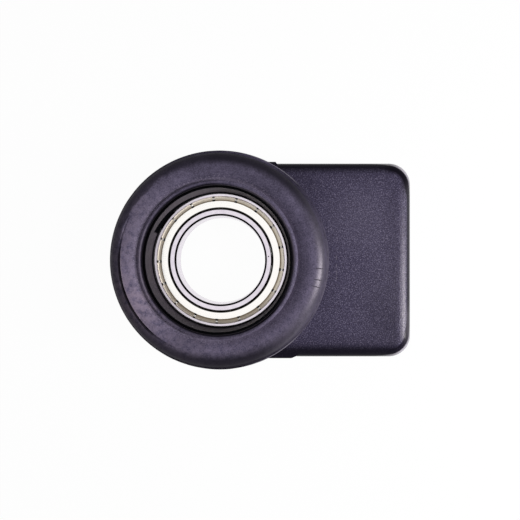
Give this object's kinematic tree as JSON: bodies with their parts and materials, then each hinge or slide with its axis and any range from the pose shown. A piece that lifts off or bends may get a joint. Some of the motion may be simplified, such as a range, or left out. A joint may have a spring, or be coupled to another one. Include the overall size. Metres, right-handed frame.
{
  "type": "driveshaft centre bearing",
  "caption": "Shielded ball bearing in a steel sleeve, carried by a rolled rubber ring in the eye of a pressed steel bracket with bent-back edges.",
  "frame": {"origin": "middle of the bearing, on the shaft axis", "axes": "+Z along the shaft axis out of the cushion's rolled front, +X from the bearing to the bolted end of the bracket, +Y across the arm"},
  "size_m": [0.1504, 0.1078, 0.0435],
  "materials": {
    "powder_coat": "satin black powder coat with a fine pebble",
    "moulded_rubber": "black moulded rubber with a faint bloom",
    "phosphated_steel": "dark grey phosphate",
    "spring_steel": "black oxide",
    "ground_steel": "fine ground",
    "lapped_steel": "matt lapped",
    "plated_shield": "bright plated sheet",
    "pressed_cage": "pressed sheet under grease",
    "greased_ball": "polished, under a film of grease"
  },
  "bodies": {
    "housing": {"bracket": "powder_coat", "cushion": "moulded_rubber", "bearing_sleeve": "phosphated_steel", "front_snap_ring": "spring_steel", "rear_snap_ring": "spring_steel", "outer_ring": "lapped_steel", "front_shield": "plated_shield", "rear_shield": "plated_shield"},
    "inner_race": {"inner_ring": "ground_steel"},
    "cage": {"cage_front": "pressed_cage", "cage_rear": "pressed_cage", "cage_rivets": "pressed_cage"},
    "ball_01_body": {"ball_01": "greased_ball"},
    "ball_02_body": {"ball_02": "greased_ball"},
    "ball_03_body": {"ball_03": "greased_ball"},
    "ball_04_body": {"ball_04": "greased_ball"},
    "ball_05_body": {"ball_05": "greased_ball"},
    "ball_06_body": {"ball_06": "greased_ball"},
    "ball_07_body": {"ball_07": "greased_ball"},
    "ball_08_body": {"ball_08": "greased_ball"},
    "ball_09_body": {"ball_09": "greased_ball"},
    "ball_10_body": {"ball_10": "greased_ball"},
    "ball_11_body": {"ball_11": "greased_ball"},
    "ball_12_body": {"ball_12": "greased_ball"},
    "ball_13_body": {"ball_13": "greased_ball"},
    "ball_14_body": {"ball_14": "greased_ball"},
    "ball_15_body": {"ball_15": "greased_ball"}
  },
  "joints": [
    {"name": "inner_ring_spin", "type": "hinge", "parent": "housing", "child": "inner_race", "pos_m": [0, 0, 0], "axis": [0, 0, 1], "continuous": true},
    {"name": "cage_orbit", "type": "hinge", "parent": "housing", "child": "cage", "pos_m": [0, 0, 0], "axis": [0, 0, 1], "continuous": true},
    {"name": "ball_01_spin", "type": "hinge", "parent": "cage", "child": "ball_01_body", "pos_m": [0.02825, 0, 0], "axis": [0, 0, 1], "continuous": true},
    {"name": "ball_02_spin", "type": "hinge", "parent": "cage", "child": "ball_02_body", "pos_m": [0.02581, 0.01149, 0], "axis": [0, 0, 1], "continuous": true},
    {"name": "ball_03_spin", "type": "hinge", "parent": "cage", "child": "ball_03_body", "pos_m": [0.0189, 0.02099, 0], "axis": [0, 0, 1], "continuous": true},
    {"name": "ball_04_spin", "type": "hinge", "parent": "cage", "child": "ball_04_body", "pos_m": [0.00873, 0.02687, 0], "axis": [0, 0, 1], "continuous": true},
    {"name": "ball_05_spin", "type": "hinge", "parent": "cage", "child": "ball_05_body", "pos_m": [-0.00295, 0.0281, 0], "axis": [0, 0, 1], "continuous": true},
    {"name": "ball_06_spin", "type": "hinge", "parent": "cage", "child": "ball_06_body", "pos_m": [-0.01413, 0.02447, 0], "axis": [0, 0, 1], "continuous": true},
    {"name": "ball_07_spin", "type": "hinge", "parent": "cage", "child": "ball_07_body", "pos_m": [-0.02285, 0.0166, 0], "axis": [0, 0, 1], "continuous": true},
    {"name": "ball_08_spin", "type": "hinge", "parent": "cage", "child": "ball_08_body", "pos_m": [-0.02763, 0.00587, 0], "axis": [0, 0, 1], "continuous": true},
    {"name": "ball_09_spin", "type": "hinge", "parent": "cage", "child": "ball_09_body", "pos_m": [-0.02763, -0.00587, 0], "axis": [0, 0, 1], "continuous": true},
    {"name": "ball_10_spin", "type": "hinge", "parent": "cage", "child": "ball_10_body", "pos_m": [-0.02285, -0.0166, 0], "axis": [0, 0, 1], "continuous": true},
    {"name": "ball_11_spin", "type": "hinge", "parent": "cage", "child": "ball_11_body", "pos_m": [-0.01413, -0.02447, 0], "axis": [0, 0, 1], "continuous": true},
    {"name": "ball_12_spin", "type": "hinge", "parent": "cage", "child": "ball_12_body", "pos_m": [-0.00295, -0.0281, 0], "axis": [0, 0, 1], "continuous": true},
    {"name": "ball_13_spin", "type": "hinge", "parent": "cage", "child": "ball_13_body", "pos_m": [0.00873, -0.02687, 0], "axis": [0, 0, 1], "continuous": true},
    {"name": "ball_14_spin", "type": "hinge", "parent": "cage", "child": "ball_14_body", "pos_m": [0.0189, -0.02099, 0], "axis": [0, 0, 1], "continuous": true},
    {"name": "ball_15_spin", "type": "hinge", "parent": "cage", "child": "ball_15_body", "pos_m": [0.02581, -0.01149, 0], "axis": [0, 0, 1], "continuous": true}
  ],
  "couplings": [
    {"joint": "cage_orbit", "follows": "inner_ring_spin", "ratio": 0.44071},
    {"joint": "ball_01_spin", "follows": "inner_ring_spin", "ratio": -4.1571},
    {"joint": "ball_02_spin", "follows": "inner_ring_spin", "ratio": -4.1571},
    {"joint": "ball_03_spin", "follows": "inner_ring_spin", "ratio": -4.1571},
    {"joint": "ball_04_spin", "follows": "inner_ring_spin", "ratio": -4.1571},
    {"joint": "ball_05_spin", "follows": "inner_ring_spin", "ratio": -4.1571},
    {"joint": "ball_06_spin", "follows": "inner_ring_spin", "ratio": -4.1571},
    {"joint": "ball_07_spin", "follows": "inner_ring_spin", "ratio": -4.1571},
    {"joint": "ball_08_spin", "follows": "inner_ring_spin", "ratio": -4.1571},
    {"joint": "ball_09_spin", "follows": "inner_ring_spin", "ratio": -4.1571},
    {"joint": "ball_10_spin", "follows": "inner_ring_spin", "ratio": -4.1571},
    {"joint": "ball_11_spin", "follows": "inner_ring_spin", "ratio": -4.1571},
    {"joint": "ball_12_spin", "follows": "inner_ring_spin", "ratio": -4.1571},
    {"joint": "ball_13_spin", "follows": "inner_ring_spin", "ratio": -4.1571},
    {"joint": "ball_14_spin", "follows": "inner_ring_spin", "ratio": -4.1571},
    {"joint": "ball_15_spin", "follows": "inner_ring_spin", "ratio": -4.1571}
  ]
}
